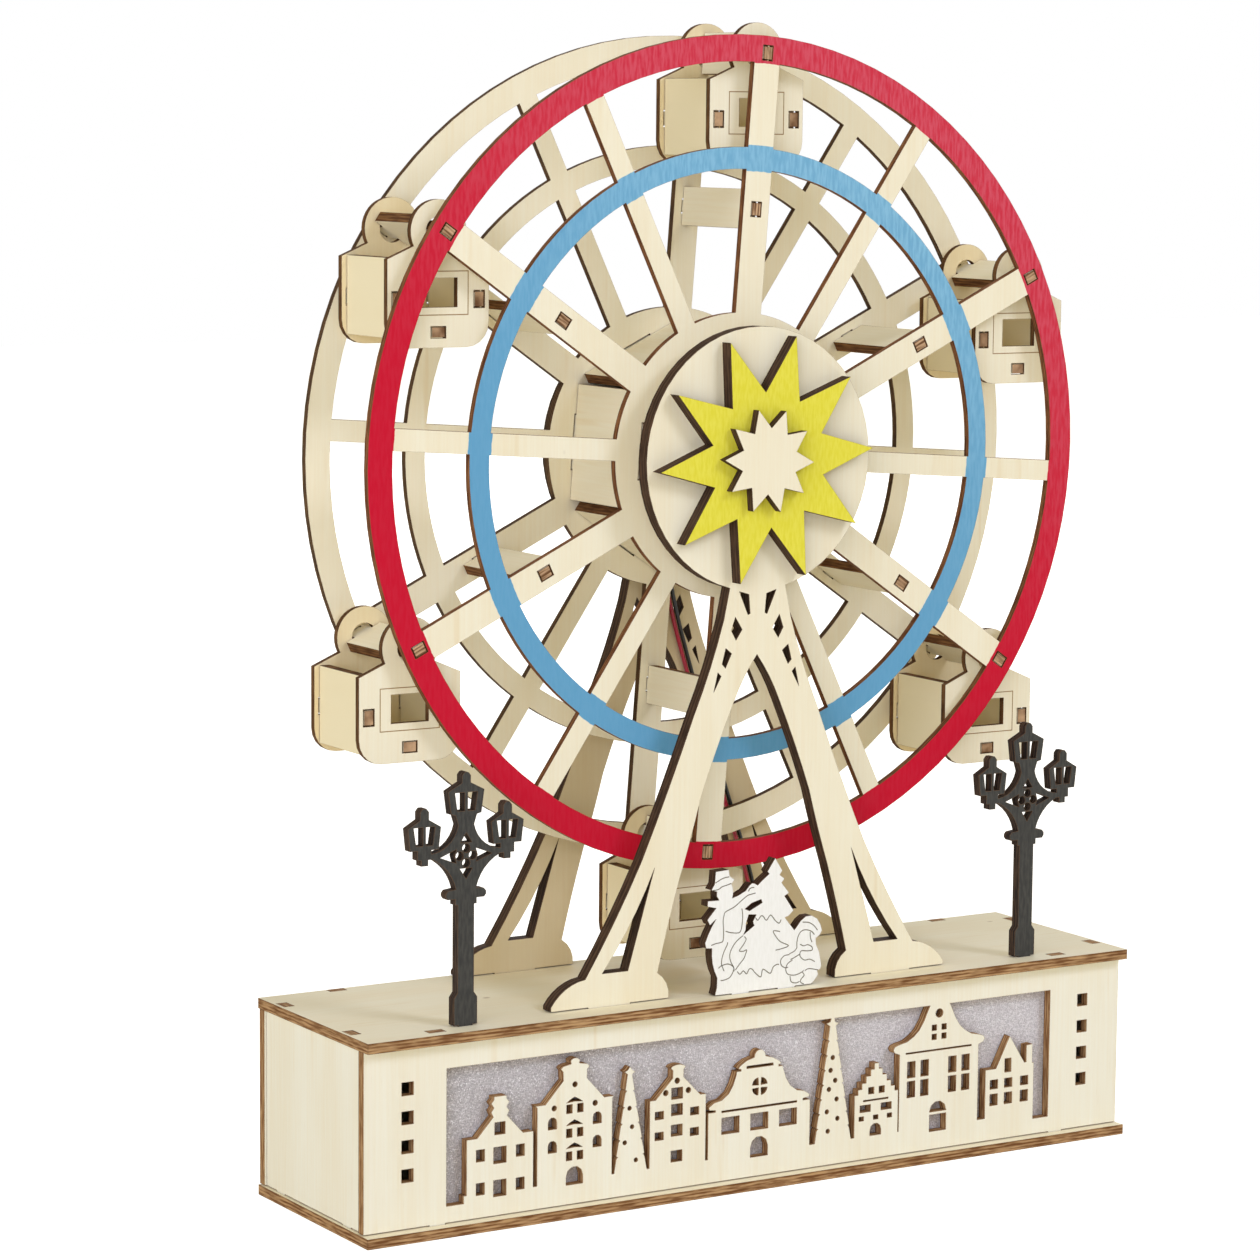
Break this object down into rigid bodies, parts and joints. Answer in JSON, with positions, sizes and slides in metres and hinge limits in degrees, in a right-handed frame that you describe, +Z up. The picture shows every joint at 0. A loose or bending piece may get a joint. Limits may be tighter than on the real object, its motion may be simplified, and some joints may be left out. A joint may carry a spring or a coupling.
{
  "type": "tabletop ferris wheel",
  "caption": "Laser-cut plywood ferris wheel with hanging gondolas on A-shaped frames, over a box base with a cut-out skyline window, street lamps and small figures.",
  "frame": {"origin": "centre of the box base's underside", "axes": "+X along the base to the right as seen from the front, +Y to the back, +Z up; the front faces -Y"},
  "size_m": [0.263, 0.0676, 0.3377],
  "materials": {
    "birch_ply": "plain pale plywood, laser-cut with dark edges",
    "yellow_paint": "matte yellow paint on plywood",
    "white_paint": "matte white paint on plywood",
    "grey_paint": "matte dark grey paint on plywood",
    "window_cloth": "grey woven cloth with a fine glitter",
    "steel": "plain turned rod",
    "motor_can": "zinc-grey motor can",
    "black_plastic": "moulded, matte",
    "circuit_board": "coated board",
    "red_insulation": "soft insulation",
    "black_insulation": "soft insulation"
  },
  "bodies": {
    "stand": {"base_top_plate": "birch_ply", "base_bottom_plate": "birch_ply", "base_front_panel": "birch_ply", "base_back_panel": "birch_ply", "base_left_panel": "birch_ply", "base_right_panel": "birch_ply", "front_frame": "birch_ply", "rear_frame": "birch_ply", "small_star": "birch_ply", "yellow_star": "yellow_paint", "figure_group": "white_paint", "left_lamp": "grey_paint", "right_lamp": "grey_paint", "window_cloth": "window_cloth", "motor": "motor_can", "battery_box": "black_plastic", "light_board": "circuit_board", "wire_red": "red_insulation", "wire_black": "black_insulation"},
    "wheel": {"front_wheel": "birch_ply", "rear_wheel": "birch_ply", "cross_plate_1": "birch_ply", "cross_plate_2": "birch_ply", "cross_plate_3": "birch_ply", "cross_plate_4": "birch_ply", "cross_plate_5": "birch_ply", "cross_plate_6": "birch_ply", "axle_bar_1": "birch_ply", "axle_bar_2": "birch_ply", "axle_bar_3": "birch_ply", "axle_bar_4": "birch_ply", "axle_bar_5": "birch_ply", "axle_bar_6": "birch_ply", "drum_panel_1": "birch_ply", "drum_panel_2": "birch_ply", "drum_panel_3": "birch_ply", "drum_panel_4": "birch_ply", "drum_panel_5": "birch_ply", "drum_panel_6": "birch_ply", "drive_shaft": "steel"},
    "gondola_1": {"gondola_1_front": "birch_ply", "gondola_1_rear": "birch_ply", "gondola_1_tub": "birch_ply"},
    "gondola_2": {"gondola_2_front": "birch_ply", "gondola_2_rear": "birch_ply", "gondola_2_tub": "birch_ply"},
    "gondola_3": {"gondola_3_front": "birch_ply", "gondola_3_rear": "birch_ply", "gondola_3_tub": "birch_ply"},
    "gondola_4": {"gondola_4_front": "birch_ply", "gondola_4_rear": "birch_ply", "gondola_4_tub": "birch_ply"},
    "gondola_5": {"gondola_5_front": "birch_ply", "gondola_5_rear": "birch_ply", "gondola_5_tub": "birch_ply"},
    "gondola_6": {"gondola_6_front": "birch_ply", "gondola_6_rear": "birch_ply", "gondola_6_tub": "birch_ply"},
    "switch": {"switch_slider": "black_plastic"},
    "hatch": {"battery_hatch": "birch_ply"}
  },
  "joints": [
    {"name": "wheel_spin", "type": "hinge", "parent": "stand", "child": "wheel", "pos_m": [0, 0, 0.21311], "axis": [0, 1, 0], "continuous": true},
    {"name": "gondola_1_swing", "type": "hinge", "parent": "wheel", "child": "gondola_1", "pos_m": [0.10461, 0, 0.26345], "axis": [0, 1, 0], "continuous": true},
    {"name": "gondola_2_swing", "type": "hinge", "parent": "wheel", "child": "gondola_2", "pos_m": [0.0087, 0, 0.32888], "axis": [0, 1, 0], "continuous": true},
    {"name": "gondola_3_swing", "type": "hinge", "parent": "wheel", "child": "gondola_3", "pos_m": [-0.09591, 0, 0.27853], "axis": [0, 1, 0], "continuous": true},
    {"name": "gondola_4_swing", "type": "hinge", "parent": "wheel", "child": "gondola_4", "pos_m": [-0.10461, 0, 0.16276], "axis": [0, 1, 0], "continuous": true},
    {"name": "gondola_5_swing", "type": "hinge", "parent": "wheel", "child": "gondola_5", "pos_m": [-0.0087, 0, 0.09733], "axis": [0, 1, 0], "continuous": true},
    {"name": "gondola_6_swing", "type": "hinge", "parent": "wheel", "child": "gondola_6", "pos_m": [0.09591, 0, 0.14768], "axis": [0, 1, 0], "continuous": true},
    {"name": "switch_slide", "type": "slide", "parent": "stand", "child": "switch", "axis": [1, 0, 0], "range_m": [0, 0.004]},
    {"name": "hatch_swing", "type": "hinge", "parent": "stand", "child": "hatch", "pos_m": [-0.01215, 0, 0], "axis": [0, 1, 0], "range_deg": [0, 90]}
  ],
  "couplings": [
    {"joint": "gondola_1_swing", "follows": "wheel_spin", "ratio": -1},
    {"joint": "gondola_2_swing", "follows": "wheel_spin", "ratio": -1},
    {"joint": "gondola_3_swing", "follows": "wheel_spin", "ratio": -1},
    {"joint": "gondola_4_swing", "follows": "wheel_spin", "ratio": -1},
    {"joint": "gondola_5_swing", "follows": "wheel_spin", "ratio": -1},
    {"joint": "gondola_6_swing", "follows": "wheel_spin", "ratio": -1}
  ]
}
